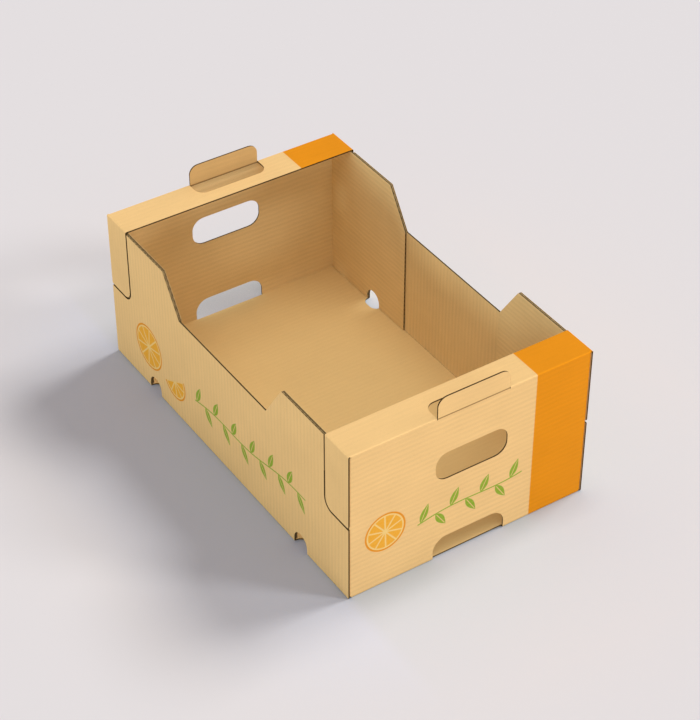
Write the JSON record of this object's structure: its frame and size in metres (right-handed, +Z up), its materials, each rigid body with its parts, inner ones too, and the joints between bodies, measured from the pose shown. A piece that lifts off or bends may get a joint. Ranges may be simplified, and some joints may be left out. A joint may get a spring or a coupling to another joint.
{
  "type": "corrugated cardboard tray box",
  "caption": "Open corrugated cardboard produce tray folded from one die-cut sheet, with end ledges, stacking tabs, hand holes, vents and low middle sides.",
  "frame": {"origin": "middle of the underside of the base, on the surface that the tray stands on", "axes": "+X along the tray towards the end seen in front, +Y across it towards the orange end of the ledges, +Z up"},
  "size_m": [0.49, 0.302, 0.218],
  "materials": {
    "board": "matte"
  },
  "bodies": {
    "root": {"tray": "board"}
  },
  "joints": []
}
